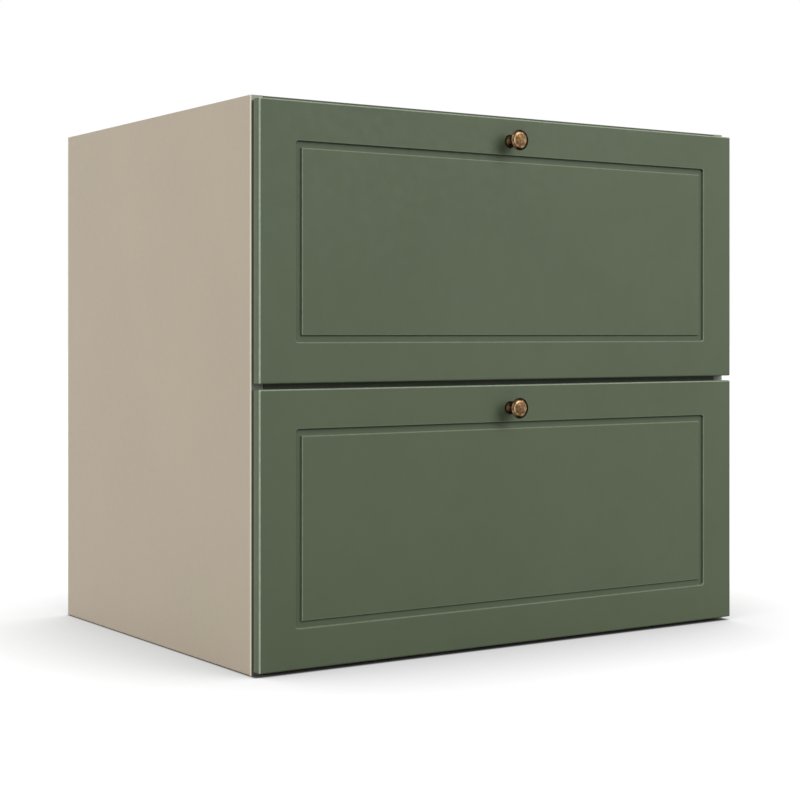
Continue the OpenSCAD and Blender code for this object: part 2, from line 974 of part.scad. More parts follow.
outer_member(UPPER, "left");  // upper_outer_member_left
outer_member(UPPER, "right");  // upper_outer_member_right
outer_member(LOWER, "left");  // lower_outer_member_left
outer_member(LOWER, "right");  // lower_outer_member_right
mid_member(UPPER, "left");  // upper_mid_member_left
mid_member(UPPER, "right");  // upper_mid_member_right
mid_member(LOWER, "left");  // lower_mid_member_left
mid_member(LOWER, "right");  // lower_mid_member_right
inner_member(UPPER, "left");  // upper_inner_member_left
inner_member(UPPER, "right");  // upper_inner_member_right
inner_member(LOWER, "left");  // lower_inner_member_left
inner_member(LOWER, "right");  // lower_inner_member_right

cages(UPPER, outer_cage_y, outer_ball, outer_cage_u, outer_cage_end);  // upper_outer_cages
balls(UPPER, outer_cage_y, outer_ball);  // upper_outer_balls
cages(UPPER, inner_cage_y, inner_ball, inner_cage_u, inner_cage_end);  // upper_inner_cages
balls(UPPER, inner_cage_y, inner_ball);  // upper_inner_balls
cages(LOWER, outer_cage_y, outer_ball, outer_cage_u, outer_cage_end);  // lower_outer_cages
balls(LOWER, outer_cage_y, outer_ball);  // lower_outer_balls
cages(LOWER, inner_cage_y, inner_ball, inner_cage_u, inner_cage_end);  // lower_inner_cages
balls(LOWER, inner_cage_y, inner_ball);  // lower_inner_balls

drawer_front(UPPER);  // upper_drawer_front
box_side(UPPER, "left");  // upper_box_side_left
box_side(UPPER, "right");  // upper_box_side_right
box_cross(UPPER, y_rear, y_rear + box_t);  // upper_box_front
box_cross(UPPER, y_box_end - box_t, y_box_end);  // upper_box_back
box_floor(UPPER);  // upper_box_floor
box_screws(UPPER);  // upper_box_screws
front_screws(UPPER);  // upper_front_screws
member_screws(UPPER);  // upper_member_screws
bumper_pads(UPPER);  // upper_bumper_pads
knob(UPPER);  // upper_knob
knob_screw(UPPER);  // upper_knob_screw

drawer_front(LOWER);  // lower_drawer_front
box_side(LOWER, "left");  // lower_box_side_left
box_side(LOWER, "right");  // lower_box_side_right
box_cross(LOWER, y_rear, y_rear + box_t);  // lower_box_front
box_cross(LOWER, y_box_end - box_t, y_box_end);  // lower_box_back
box_floor(LOWER);  // lower_box_floor
box_screws(LOWER);  // lower_box_screws
front_screws(LOWER);  // lower_front_screws
member_screws(LOWER);  // lower_member_screws
bumper_pads(LOWER);  // lower_bumper_pads
knob(LOWER);  // lower_knob
knob_screw(LOWER);  // lower_knob_screw
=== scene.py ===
"""Looks of a kitchen base cabinet with two drawers, dressed round its CAD model.
Metres, in the CAD model's own frame: Z is up and the drawer fronts face -Y."""

import math

import bmesh
import bpy
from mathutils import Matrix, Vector

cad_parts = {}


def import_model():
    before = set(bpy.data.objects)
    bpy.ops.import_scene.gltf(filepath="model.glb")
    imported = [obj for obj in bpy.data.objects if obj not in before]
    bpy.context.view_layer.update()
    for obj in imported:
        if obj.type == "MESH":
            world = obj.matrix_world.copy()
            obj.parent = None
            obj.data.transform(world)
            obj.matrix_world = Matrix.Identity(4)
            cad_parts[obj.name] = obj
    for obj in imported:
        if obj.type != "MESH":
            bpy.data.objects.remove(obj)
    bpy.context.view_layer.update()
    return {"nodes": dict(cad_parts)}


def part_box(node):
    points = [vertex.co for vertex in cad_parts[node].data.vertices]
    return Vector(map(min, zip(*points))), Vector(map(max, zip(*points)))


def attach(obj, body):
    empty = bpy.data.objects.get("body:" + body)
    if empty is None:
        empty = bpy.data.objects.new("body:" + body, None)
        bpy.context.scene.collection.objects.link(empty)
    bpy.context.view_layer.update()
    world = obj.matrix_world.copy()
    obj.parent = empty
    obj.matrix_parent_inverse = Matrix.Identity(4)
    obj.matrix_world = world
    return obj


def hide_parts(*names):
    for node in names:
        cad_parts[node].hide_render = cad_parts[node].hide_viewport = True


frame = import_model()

MM = 0.001
MELT = 0.001 * MM
TOUCH = 10 * MELT
SHARP_ANGLE = math.radians(50)
FLAT_ANGLE = math.radians(0.5)
LEVELS = ("lower", "upper")
SIDES = ("left", "right")

# Drawer fronts: their shape
FRONT_EDGE_R = 2 * MM
FRONT_FLAT_FROM = 1.6
FRONT_CORNER_R = 1.4 * MM
FRONT_REAR_EASE = 1.4 * MM
FOIL_LAP = 0.9 * MM
STILE_WIDTHS = (52 * MM, 54 * MM)
RAIL_WIDTHS = (51 * MM, 50 * MM)
GROOVE_W = 9 * MM
GROOVE_FLOOR = 8 * MM
GROOVE_DEEP = 3 * MM
INNER_CORNER_R = 0.2 * MM
CORNER_STEPS = 8
EDGE_STEPS = 8

# Section of the groove: the lip and the fillet, each with its radius and then with points given
# as shares of it, aside of the wall and down from the face or up from the floor
GROOVE_LIP_R = 0.5 * MM
GROOVE_FLAT_FROM = 3
LIP_POINTS = ((0, 0.35), (0.3, 1.3))
GROOVE_FILLET_R = 0.4 * MM
FILLET_POINTS = ((0.4, 0.8), (0, 0.2))

# Painted light on the lacquer: a painted highlight above 0 and painted shade below. Edges that face
# left get the most painted highlight, and then those that face up. The groove gets painted shade on its
# floor beside its walls
EDGE_HIGHLIGHT = 3
UPPER_HIGHLIGHT = 0.6
REAR_HIGHLIGHT = 0.1
LIP_PAINTED_LIGHT = 0.75
WALL_PAINTED_LIGHT = 0.25
LOWER_LIP_HIGHLIGHT = 0.5
UNDER_SHADE = 2.6
GROOVE_SHADES = (0.52, 0.22, 0.04, 0.2)
GROOVE_SHADE_W = 1.2 * MM

# Knobs: arcs go from one angle to another, in steps
KNOB_SEGMENTS = 96
KNOB_BASE_R = 9 * MM
KNOB_BASE_T = 1.6 * MM
KNOB_BASE_ARC = (-90, 90, 8)
KNOB_NECK_R = 5 * MM
KNOB_NECK_L = 15 * MM
KNOB_WAIST_SLACK = 2 * MM
KNOB_WAIST_ARC = (228, 134, 16)
KNOB_COLLAR_R = 0.45 * MM
KNOB_COLLAR_IN = 1.3 * MM
KNOB_COLLAR_UP = 0.6
KNOB_COLLAR_ARC = (-70, 60, 5)
KNOB_BEAD_R = 1.5 * MM
KNOB_BEAD_H = 20.9 * MM
KNOB_BEAD_ARC = (-115, 85, 20)
KNOB_BACK = (2.6 * MM, 3.0 * MM)
KNOB_RIM_IN = 0.9 * MM
KNOB_RIM_STEP = (0.35 * MM, 0.25 * MM)
KNOB_RIM_DOWN = 0.2 * MM
KNOB_DOME = 2.4 * MM
KNOB_DOME_STEPS = 14

# Tarnish of the knobs, from 0 where they are bright, and the leans of painted light towards +X: a lean
# adds painted shade on the +X side and a painted highlight on the -X side, a negative one the other way
FOOT_TARNISH = 1.1
WAIST_TARNISH = 1.05
HOLLOW_TARNISH = 0.95
RIM_TARNISH = 0.9
RIM_FADE = 0.3
RIM_STEPS = 3
DOME_TARNISH = (0.1, 0.07, 0.5)
KNOB_WAIST_PAINTED_LIGHT = 0.6
KNOB_BEAD_PAINTED_LIGHT = 0.75
KNOB_RIM_PAINTED_LIGHT = 0.45
KNOB_DOME_PAINTED_LIGHT = -0.25

# Boards and small parts
BOARD_EASE = 0.35 * MM
BOARD_EASE_STEPS = 2
EASED_WITHIN = 1.1 * BOARD_EASE
FOOT_EASE = 1.5 * MM
FACING = 0.35
BAND_R = 1.8 * MM
BAND_STEPS = 6
BAND_FACING = 0.2
BAND_SHORTEST = 10 * MM
RIM_SHARE = 0.985
RIM_EASE_STEPS = 3
PAD_ROUND = 0.8 * MM
HEAD_ROUND = 0.5 * MM
CAM_ROUND = 0.3 * MM

# Camera, where the photograph's perspective puts it
CAMERA_AT = (-1.4431, -2.1820, 0.4239)
CAMERA_YAW = math.radians(-33.70)
CAMERA_LENS = 78.45
CAMERA_SENSOR = 36
CAMERA_SHIFT_Y = -0.0828

# Lamps: place, side of the square and power
KEY_LAMP = {"at": (2.7, -5.0, 3.0), "size": 3.8, "power": 315}
LEFT_LAMP = {"at": (-5.6, 0.9, 1.2), "size": 2.6, "power": 200}
TOP_LAMP = {"at": (-0.3, -0.4, 4.2), "size": 3.6, "power": 40}
LAMP_TARGET = Vector((0, 0, 0.36))
AMBIENT = 0.4

# Floor: the share of light that it gives back to the object, and to the camera. It glows too, by
# its lift near the object and fully where the fade ends, less a painted soft shade of the object where
# ambient occlusion darkens the glow, and almost nothing along a painted shadow line at the footprint's
# edge. The footprint is given by its half sizes and its middle
FLOOR_REACH = 40
FLOOR_GAP = 0.4 * MM
FLOOR_ROUGHNESS = 0.9
FLOOR_BOUNCE = 0.45
FLOOR_SEEN = 0.16
FLOOR_LIFT = 0.985
FLOOR_SHADE_REACH = 0.36
FLOOR_SHADE_CURVE = 0.9
FLOOR_FADE = (0.2, 1.3)
CONTACT_SHADE = 0.05
CONTACT_REACH = 4.5 * MM
FOOTPRINT = (0.399, 0.290, 1)
FOOTPRINT_AT = (0, -0.006, 0)


def srgb(red, green, blue):
    """Linear colour of a display colour given from 0 to 255."""
    def linear(value):
        value /= 255
        return value / 12.92 if value <= 0.04045 else ((value + 0.055) / 1.055) ** 2.4
    return (linear(red), linear(green), linear(blue), 1)


class Finish:
    """A material and the nodes it is mixed from. Patterns lie in the piece's own metres."""

    def __init__(self, name, metallic=0.0, specular=0.5):
        self.material = bpy.data.materials.new(name)
        self.material.use_nodes = True
        self.nodes = self.material.node_tree.nodes
        self.links = self.material.node_tree.links
        self.shader = self.nodes["Principled BSDF"]
        self.shader.inputs["Metallic"].default_value = metallic
        self.shader.inputs["Specular IOR Level"].default_value = specular
        self.place = self.add("ShaderNodeTexCoord", {}).outputs["Object"]

    def add(self, kind, values):
        node = self.nodes.new(kind)
        for name, value in values.items():
            self.feed(node.inputs[name], value)
        return node

    def feed(self, socket, value):
        if isinstance(value, bpy.types.NodeSocket):
            self.links.new(value, socket)
        else:
            socket.default_value = value

    def set(self, **values):
        """Feeds the surface shader: base_color, roughness and so on."""
        for name, value in values.items():
            self.feed(self.shader.inputs[name.replace("_", " ").title()], value)
        return self

    def stretched(self, stretch):
        return self.add("ShaderNodeMapping", {"Vector": self.place, "Scale": stretch}).outputs[0]

    def noise(self, size, detail=2.0, stretch=(1, 1, 1)):
        """Soft pattern from 0 to 1 with features about this size."""
        values = {"Vector": self.stretched(stretch), "Scale": 1 / size, "Detail": detail}
        return self.add("ShaderNodeTexNoise", values).outputs[0]

    def cells(self, size, stretch=(1, 1, 1)):
        """Cells about this size: a random value for each, and the distance from its middle."""
        values = {"Vector": self.stretched(stretch), "Scale": 1 / size}
        node = self.add("ShaderNodeTexVoronoi", values)
        return node.outputs["Color"], node.outputs["Distance"]

    def attribute(self, name):
        node = self.nodes.new("ShaderNodeAttribute")
        node.attribute_name = name
        return node.outputs["Fac"]

    def ranged(self, value, low, high, start=0.3, end=0.7):
        """Brings a pattern to the range from low to high."""
        values = {"Value": value, "From Min": start, "From Max": end, "To Min": low, "To Max": high}
        return self.add("ShaderNodeMapRange", values).outputs[0]

    def times(self, a, b):
        node = self.nodes.new("ShaderNodeMath")
        node.operation = "MULTIPLY"
        self.feed(node.inputs[0], a)
        self.feed(node.inputs[1], b)
        return node.outputs[0]

    def plus(self, a, b):
        node = self.nodes.new("ShaderNodeMath")
        node.operation = "ADD"
        node.use_clamp = True
        self.feed(node.inputs[0], a)
        self.feed(node.inputs[1], b)
        return node.outputs[0]

    def mixed(self, share, a, b):
        """Colour a where share is 0, colour b where it is 1."""
        node = self.nodes.new("ShaderNodeMix")
        node.data_type = "RGBA"
        self.feed(node.inputs[0], share)
        self.feed(node.inputs[6], a)
        self.feed(node.inputs[7], b)
        return node.outputs[2]

    def bump(self, height, depth, under=None):
        """Relief of this depth, on top of another one if given."""
        values = {"Height": height, "Distance": depth, "Strength": 1.0}
        if under is not None:
            values["Normal"] = under
        return self.add("ShaderNodeBump", values).outputs[0]


def beige_melamine():
    finish = Finish("beige_melamine", specular=0.4)
    cloud = finish.ranged(finish.noise(0.3, detail=3), 0, 1)
    grain = finish.ranged(finish.noise(0.9 * MM, detail=3), 0, 0.5)
    tone = finish.mixed(cloud, srgb(164, 153, 134), srgb(170, 156, 139))
    pearl = finish.bump(finish.noise(0.7 * MM, detail=1), 0.012 * MM)
    finish.set(
        base_color=finish.mixed(grain, tone, srgb(160, 147, 128)),
        roughness=finish.ranged(finish.noise(6 * MM), 0.44, 0.54),
        normal=pearl,
    )
    return finish.material


def edge_band_finish(name, pale, dark, specular=0.5):
    """Plastic band, drawn lengthways."""
    finish = Finish(name, specular=specular)
    drawn = finish.noise(1.2 * MM, stretch=(1, 1, 0.02))
    finish.set(
        base_color=finish.mixed(finish.ranged(drawn, 0, 1), pale, dark),
        roughness=finish.ranged(finish.noise(8 * MM), 0.34, 0.44),
        normal=finish.bump(drawn, 0.006 * MM),
    )
    return finish.material


def chipboard():
    """Sawn edge of a particle board, where the laminate stops."""
    finish = Finish("chipboard_core", specular=0.2)
    chips, middle = finish.cells(1.5 * MM)
    flakes, _ = finish.cells(4 * MM, stretch=(1, 1, 1.8))
    straw = finish.mixed(chips, srgb(166, 131, 92), srgb(208, 178, 136))
    dark = finish.ranged(finish.times(flakes, chips), 0, 0.75, start=0.45, end=0.7)
    relief = finish.bump(middle, 0.35 * MM, finish.bump(finish.noise(0.5 * MM, detail=3), 0.25 * MM))
    finish.set(
        base_color=finish.mixed(dark, straw, srgb(112, 80, 52)),
        roughness=0.85,
        normal=relief,
    )
    return finish.material


def printed_board(name, colour, speck):
    """Painted face of a thin fibreboard."""
    finish = Finish(name, specular=0.35)
    cloud = finish.ranged(finish.noise(0.2, detail=3), 0, 0.6)
    finish.set(
        base_color=finish.mixed(cloud, colour, speck),
        roughness=finish.ranged(finish.noise(5 * MM), 0.5, 0.62),
        normal=finish.bump(finish.noise(1.5 * MM, detail=3), 0.02 * MM),
    )
    return finish.material


def fibreboard():
    """Bare brown rear of the back panel, with its pressed fibres."""
    finish = Finish("bare_fibreboard", specular=0.2)
    fibres = finish.noise(1.6 * MM, detail=5, stretch=(1, 1, 0.35))
    cloud = finish.ranged(finish.noise(0.08, detail=4), 0, 0.5)
    tone = finish.mixed(finish.ranged(fibres, 0, 1), srgb(128, 92, 62), srgb(164, 126, 90))
    finish.set(
        base_color=finish.mixed(cloud, tone, srgb(140, 100, 66)),
        roughness=0.75,
        normal=finish.bump(fibres, 0.08 * MM),
    )
    return finish.material


def drawer_melamine():
    finish = Finish("pale_melamine", specular=0.4)
    threads = finish.noise(1.0 * MM, stretch=(0.12, 0.12, 1))
    cross = finish.noise(1.0 * MM, stretch=(1, 1, 0.12))
    linen = finish.plus(finish.times(threads, 0.5), finish.times(cross, 0.5))
    finish.set(
        base_color=finish.mixed(finish.ranged(linen, 0, 1), srgb(198, 196, 190), srgb(210, 208, 202)),
        roughness=finish.ranged(finish.noise(7 * MM), 0.45, 0.55),
        normal=finish.bump(linen, 0.03 * MM),
    )
    return finish.material


def drawer_edge_band():
    finish = Finish("pale_edge_band", specular=0.5)
    finish.set(
        base_color=finish.mixed(finish.noise(9 * MM), srgb(204, 202, 196), srgb(212, 210, 204)),
        roughness=finish.ranged(finish.noise(5 * MM), 0.36, 0.46),
        normal=finish.bump(finish.noise(1.5 * MM), 0.008 * MM),
    )
    return finish.material


def green_lacquer():
    """Silky matt lacquer: faint clouds, a fine orange peel, a painted highlight where its painted light
    is above 0, at edges that face left or up, and painted shade where it is below 0, in the groove."""
    finish = Finish("green_lacquer", specular=0.2)
    cloud = finish.ranged(finish.noise(0.22, detail=4), 0, 1)
    mottle = finish.ranged(finish.noise(0.035, detail=3), 0, 0.35)
    tone = finish.mixed(cloud, srgb(72, 83, 62), srgb(76, 87, 66))
    tone = finish.mixed(mottle, tone, srgb(79, 88, 65))
    painted_light = finish.attribute("painted_light")
    # Painted shade: darker where the painted light is below 0
    tone = finish.mixed(finish.ranged(painted_light, 0, 1, start=0, end=-1), tone, srgb(38, 46, 32))
    # Painted highlight: paler where the painted light is above 0, broken up by noise
    highlight_mottle = finish.ranged(finish.noise(7 * MM, detail=4), 0.7, 1)
    edge = finish.times(finish.ranged(painted_light, 0, 1, start=0, end=1), highlight_mottle)
    peel = finish.bump(finish.noise(2.4 * MM, detail=2), 0.03 * MM)
    finish.set(
        base_color=finish.mixed(edge, tone, srgb(160, 172, 151)),
        roughness=finish.ranged(finish.noise(12 * MM, detail=3), 0.5, 0.6),
        normal=finish.bump(finish.noise(0.4 * MM), 0.006 * MM, peel),
    )
    return finish.material


def aged_brass():
    """Brass that has gone brown where nothing rubs it. Its tarnish runs from 0, bright, to 1, and
    carries painted light too: a painted highlight on one side of the knob and painted shade on the
    other.
    """
    finish = Finish("aged_brass", metallic=1.0)
    tarnish_and_painted_light = finish.attribute("tarnish_and_painted_light")
    blotch = finish.ranged(finish.noise(4 * MM, detail=4), -0.2, 0.3)
    stain_and_painted_light = finish.plus(tarnish_and_painted_light, blotch)
    bright = finish.ranged(stain_and_painted_light, 0, 1, start=0, end=0.45)
    dark = finish.ranged(stain_and_painted_light, 0, 1, start=0.4, end=1)
    warm = finish.mixed(bright, srgb(166, 147, 120), srgb(104, 80, 53))
    turning = finish.noise(0.5 * MM, detail=2)
    finish.set(
        base_color=finish.mixed(dark, warm, srgb(22, 16, 9)),
        roughness=finish.ranged(stain_and_painted_light, 0.45, 0.58, start=0, end=1),
        normal=finish.bump(turning, 0.02 * MM, finish.bump(blotch, 0.04 * MM)),
    )
    return finish.material


def plated_steel(name, colour, dull, along, roughness):
    """Zinc-plated sheet: fine drawing lines along one axis, and a faint spangle."""
    finish = Finish(name, metallic=1.0)
    drawn = finish.noise(0.6 * MM, detail=3, stretch=along)
    chips, _ = finish.cells(5 * MM)
    spangle = finish.times(chips, 0.35)
    tone = finish.mixed(finish.ranged(drawn, 0, 1), colour, dull)
    finish.set(
        base_color=finish.mixed(spangle, tone, dull),
        roughness=finish.ranged(drawn, roughness - 0.06, roughness + 0.08),
        normal=finish.bump(drawn, 0.008 * MM),
    )
    return finish.material


def polished_steel():
    finish = Finish("ball_steel", metallic=1.0)
    smear = finish.noise(1.2 * MM, detail=2)
    finish.set(
        base_color=finish.mixed(smear, srgb(206, 208, 212), srgb(180, 182, 186)),
        roughness=finish.ranged(smear, 0.08, 0.2),
    )
    return finish.material


def cast_zinc():
    finish = Finish("cast_zinc", metallic=1.0)
    skin = finish.noise(0.7 * MM, detail=4)
    finish.set(
        base_color=finish.mixed(finish.ranged(skin, 0, 1), srgb(150, 152, 156), srgb(188, 189, 192)),
        roughness=finish.ranged(skin, 0.38, 0.58),
        normal=finish.bump(skin, 0.06 * MM),
    )
    return finish.material


def beech_wood():
    """Dowel wood with its pores drawn out along X."""
    finish = Finish("beech_wood", specular=0.3)
    rings = finish.noise(1.6 * MM, detail=3, stretch=(0.06, 1, 1))
    pores = finish.noise(0.35 * MM, detail=2, stretch=(0.12, 1, 1))
    tone = finish.mixed(finish.ranged(rings, 0, 1), srgb(214, 178, 132), srgb(188, 146, 100))
    open_pores = finish.ranged(pores, 0.5, 0, start=0.3, end=0.42)
    finish.set(
        base_color=finish.mixed(open_pores, tone, srgb(132, 92, 60)),
        roughness=0.6,
        normal=finish.bump(pores, 0.05 * MM),
    )
    return finish.material


def clear_rubber():
    finish = Finish("bumper_rubber", specular=0.5)
    cloud = finish.noise(2 * MM)
    finish.set(
        base_color=finish.mixed(cloud, srgb(60, 60, 60), srgb(78, 78, 76)),
        roughness=finish.ranged(cloud, 0.5, 0.65),
        normal=finish.bump(finish.noise(0.4 * MM), 0.02 * MM),
    )
    return finish.material


def piece(name, mesh, materials, body, replaced, at=(0, 0, 0)):
    """Puts a mesh in the scene in place of a CAD node, on the body that carries it."""
    for polygon in mesh.polygons:
        polygon.use_smooth = True
    mesh.set_sharp_from_angle(angle=SHARP_ANGLE)
    item = bpy.data.objects.new(name, mesh)
    item.location = at
    bpy.context.scene.collection.objects.link(item)
    for material in materials:
        mesh.materials.append(material)
    weighted = item.modifiers.new("flat_faces", "WEIGHTED_NORMAL")
    weighted.keep_sharp = True
    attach(item, body)
    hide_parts(replaced)
    return item


def cleaned_copy(node):
    """The CAD node's shape with its triangles joined back into flat faces."""
    shape = bmesh.new()
    shape.from_mesh(frame["nodes"][node].data)
    bmesh.ops.remove_doubles(shape, verts=shape.verts, dist=MELT)
    bmesh.ops.dissolve_limit(shape, angle_limit=FLAT_ANGLE, verts=shape.verts, edges=shape.edges)
    return shape


def to_mesh(name, shape):
    bmesh.ops.recalc_face_normals(shape, faces=shape.faces)
    mesh = bpy.data.meshes.new(name)
    shape.to_mesh(mesh)
    shape.free()
    return mesh


def ease_edges(shape, edges, width, segments):
    bmesh.ops.bevel(
        shape, geom=edges, offset=width, offset_type="OFFSET", segments=segments,
        profile=0.5, affect="EDGES", clamp_overlap=True,
    )


def box_edges(shape, low, high):
    """The straight edges that two outer planes of a board share."""
    def planes(vert):
        return {
            (axis, side) for axis in range(3) for side, limit in ((0, low), (1, high))
            if abs(vert.co[axis] - limit[axis]) < TOUCH
        }
    return [edge for edge in shape.edges if len(planes(edge.verts[0]) & planes(edge.verts[1])) > 1]


def foot_edges(shape, low, high, thickness_axis):
    """The long straight edges at the foot of an upright board."""
    return [
        edge for edge in box_edges(shape, low, high)
        if all(vert.co.z < low.z + TOUCH for vert in edge.verts)
        and abs((edge.verts[0].co - edge.verts[1].co)[thickness_axis]) < MELT
    ]


def board(node, body, thickness_axis, materials, sides=(), foot=False):
    """A board with eased edges. Its two broad faces take the first material, the cut ones the
    second, and the sides named, as an axis and a sign, take the third. A board that stands on
    the floor has more ease at its foot."""
    low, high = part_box(node)
    shape = cleaned_copy(node)
    if foot:
        edges = foot_edges(shape, low, high, thickness_axis)
        ease_edges(shape, edges, FOOT_EASE, BOARD_EASE_STEPS)
    ease_edges(shape, box_edges(shape, low, high), BOARD_EASE, BOARD_EASE_STEPS)
    broad_low = low[thickness_axis] + EASED_WITHIN
    broad_high = high[thickness_axis] - EASED_WITHIN
    for face in shape.faces:
        place = face.calc_center_median()
        normal = face.normal
        at = place[thickness_axis]
        on_face = at < broad_low or at > broad_high
        face.material_index = 0 if on_face and abs(normal[thickness_axis]) > FACING else 1
        for axis, sign in sides:
            limit = high[axis] if sign > 0 else low[axis]
            if abs(place[axis] - limit) < EASED_WITHIN and normal[axis] * sign > FACING:
                face.material_index = 2
    return piece(node + "_board", to_mesh(node, shape), materials, body, node)


def edge_band(node, along, materials, outward=0):
    """A band whose two long front edges are rounded over. The side of the cabinet that it
    closes, given as a sign along X, takes the second material, round to the front face."""
    low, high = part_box(node)
    shape = cleaned_copy(node)
    long_edges = [
        edge for edge in shape.edges
        if all(abs(vert.co.y - low.y) < TOUCH for vert in edge.verts)
        and abs((edge.verts[0].co - edge.verts[1].co)[along]) > BAND_SHORTEST
    ]
    ease_edges(shape, long_edges, BAND_R, BAND_STEPS)
    shape.normal_update()
    for face in shape.faces:
        face.material_index = 1 if face.normal.x * outward > BAND_FACING else 0
    return piece(node + "_band", to_mesh(node, shape), materials, "root", node)


def loose_parts(shape):
    """The vertices of each separate part of a shape."""
    waiting = set(shape.verts)
    parts = []
    while waiting:
        part = []
        front = [waiting.pop()]
        while front:
            vert = front.pop()
            part.append(vert)
            near = {edge.other_vert(vert) for edge in vert.link_edges} & waiting
            waiting -= near
            front.extend(near)
        parts.append(part)
    return parts


def rim_edges(part, axis):
    """Edges of the widest round rims at the two ends of a part that is turned about this axis."""
    others = [other for other in range(3) if other != axis]
    ends = [limit(vert.co[axis] for vert in part) for limit in (min, max)]
    middle = [(min(v.co[other] for v in part) + max(v.co[other] for v in part)) / 2 for other in others]

    def radius(vert):
        return math.dist(middle, [vert.co[other] for other in others])

    reach = max(radius(vert) for vert in part)
    rim = {vert for vert in part if radius(vert) > RIM_SHARE * reach}
    edges = {edge for vert in rim for edge in vert.link_edges if edge.other_vert(vert) in rim}
    return [
        edge for edge in edges
        if any(all(abs(vert.co[axis] - end) < TOUCH for vert in edge.verts) for end in ends)
    ]


def eased_rims(node, body, material, width, axis=None):
    """A node of small turned parts with their sharp rims rounded. Without an axis, each part is
    taken to be turned about its longest side."""
    shape = cleaned_copy(node)
    edges = []
    for part in loose_parts(shape):
        sizes = [max(v.co[i] for v in part) - min(v.co[i] for v in part) for i in range(3)]
        edges += rim_edges(part, sizes.index(max(sizes)) if axis is None else axis)
    ease_edges(shape, edges, width, RIM_EASE_STEPS)
    return piece(node + "_eased", to_mesh(node, shape), (material,), body, node)


def ring_turns():
    """Where each point of a rounded ring faces, as an angle from +X towards +Z."""
    steps = range(CORNER_STEPS + 1)
    return [math.pi / 2 * (corner + step / CORNER_STEPS) for corner in range(4) for step in steps]


def rounded_ring(shape, half_x, half_z, centre, depth_y, radius):
    """Points of a rectangle with round corners that stands upright at one depth."""
    points = []
    for index, turn in enumerate(ring_turns()):
        side_x, side_z = ((1, 1), (-1, 1), (-1, -1), (1, -1))[index // (CORNER_STEPS + 1)]
        x = centre.x + side_x * (half_x - radius) + radius * math.cos(turn)
        z = centre.z + side_z * (half_z - radius) + radius * math.sin(turn)
        points.append(shape.verts.new((x, depth_y, z)))
    return points


def bridge(shape, ring, following, material_index=0):
    count = len(ring)
    for index in range(count):
        after = (index + 1) % count
        face = shape.faces.new((ring[index], ring[after], following[after], following[index]))
        face.material_index = material_index


def quarter(radius, steps):
    """Points of a quarter round: how far it has come in, and how far it is still down."""
    turns = [math.pi / 2 * step / steps for step in range(steps + 1)]
    return [(radius * (1 - math.cos(turn)), radius * (1 - math.sin(turn))) for turn in turns]


def front_outline():
    """Rings of a drawer front, from its side to its flat frame: share of the frame's width,
    further inset, depth behind the face, corner radius and weight of painted light, a painted highlight
    on the rounded edge. That weight is above 0 on what faces outward, and below 0 on what faces the
    middle."""
    rings = []
    for inset, down in quarter(FRONT_EDGE_R, EDGE_STEPS):
        painted_weight = min(1, EDGE_HIGHLIGHT * (1 - abs(inset - down) / FRONT_EDGE_R))
        rings.append((0, inset, down, FRONT_CORNER_R, painted_weight))
    rings.append((0, FRONT_EDGE_R * FRONT_FLAT_FROM, 0, FRONT_CORNER_R, 0))
    return rings


def groove_outline():
    """Rings of the routed groove, from the frame's lip to the middle field's lip."""
    wall = (GROOVE_W - GROOVE_FLOOR) / 2
    lip = GROOVE_LIP_R
    soft = GROOVE_FILLET_R
    deep = GROOVE_DEEP
    far = GROOVE_W
    outer_r = GROOVE_W / 2
    floor_r = outer_r - wall
    inner_r = INNER_CORNER_R
    shade_w = GROOVE_SHADE_W
    frame_side, near_frame, near_field, field_side = GROOVE_SHADES
    rings = [(1, -GROOVE_FLAT_FROM * lip, 0, outer_r, 0), (1, -lip, 0, outer_r, -LIP_PAINTED_LIGHT / 2)]
    for aside, down in LIP_POINTS:
        rings.append((1, lip * aside, lip * down, outer_r - lip * aside, -LIP_PAINTED_LIGHT))
    for aside, up in FILLET_POINTS:
        rings.append((1, wall - soft * aside, deep - soft * up, floor_r, -WALL_PAINTED_LIGHT))
    # Painted shade on the groove's floor beside its walls, and more where a wall faces down
    rings.append((1, wall + soft, deep, floor_r, -frame_side))
    rings.append((1, wall + soft + shade_w, deep, floor_r - shade_w, -near_frame))
    rings.append((1, far - wall - soft - shade_w, deep, inner_r, near_field))
    rings.append((1, far - wall - soft, deep, inner_r, field_side))
    for aside, up in reversed(FILLET_POINTS):
        rings.append((1, far - wall + soft * aside, deep - soft * up, inner_r, WALL_PAINTED_LIGHT))
    for aside, down in reversed(LIP_POINTS):
        rings.append((1, far - lip * aside, lip * down, inner_r, LIP_PAINTED_LIGHT))
    rings += [(1, far + lip, 0, inner_r, LIP_PAINTED_LIGHT / 2), (1, far + GROOVE_FLAT_FROM * lip, 0, inner_r, 0)]
    return rings


def painted_edge_light(turn, painted_weight, sunk, in_groove):
    """Painted light of a point: a painted highlight, most where it faces left or up. In the groove it
    is below 0, painted shade, where the wall faces down, and on the floor beside the walls."""
    up = math.sin(turn) * math.copysign(1, painted_weight)
    left = -math.cos(turn) * math.copysign(1, painted_weight)
    painted_light = -left ** 2 if sunk == GROOVE_DEEP else max(0, left) + UPPER_HIGHLIGHT * max(0, up)
    if in_groove:
        painted_light += max(0, -up) * (LOWER_LIP_HIGHLIGHT if sunk == 0 else -UNDER_SHADE)
    return abs(painted_weight) * min(1, painted_light)


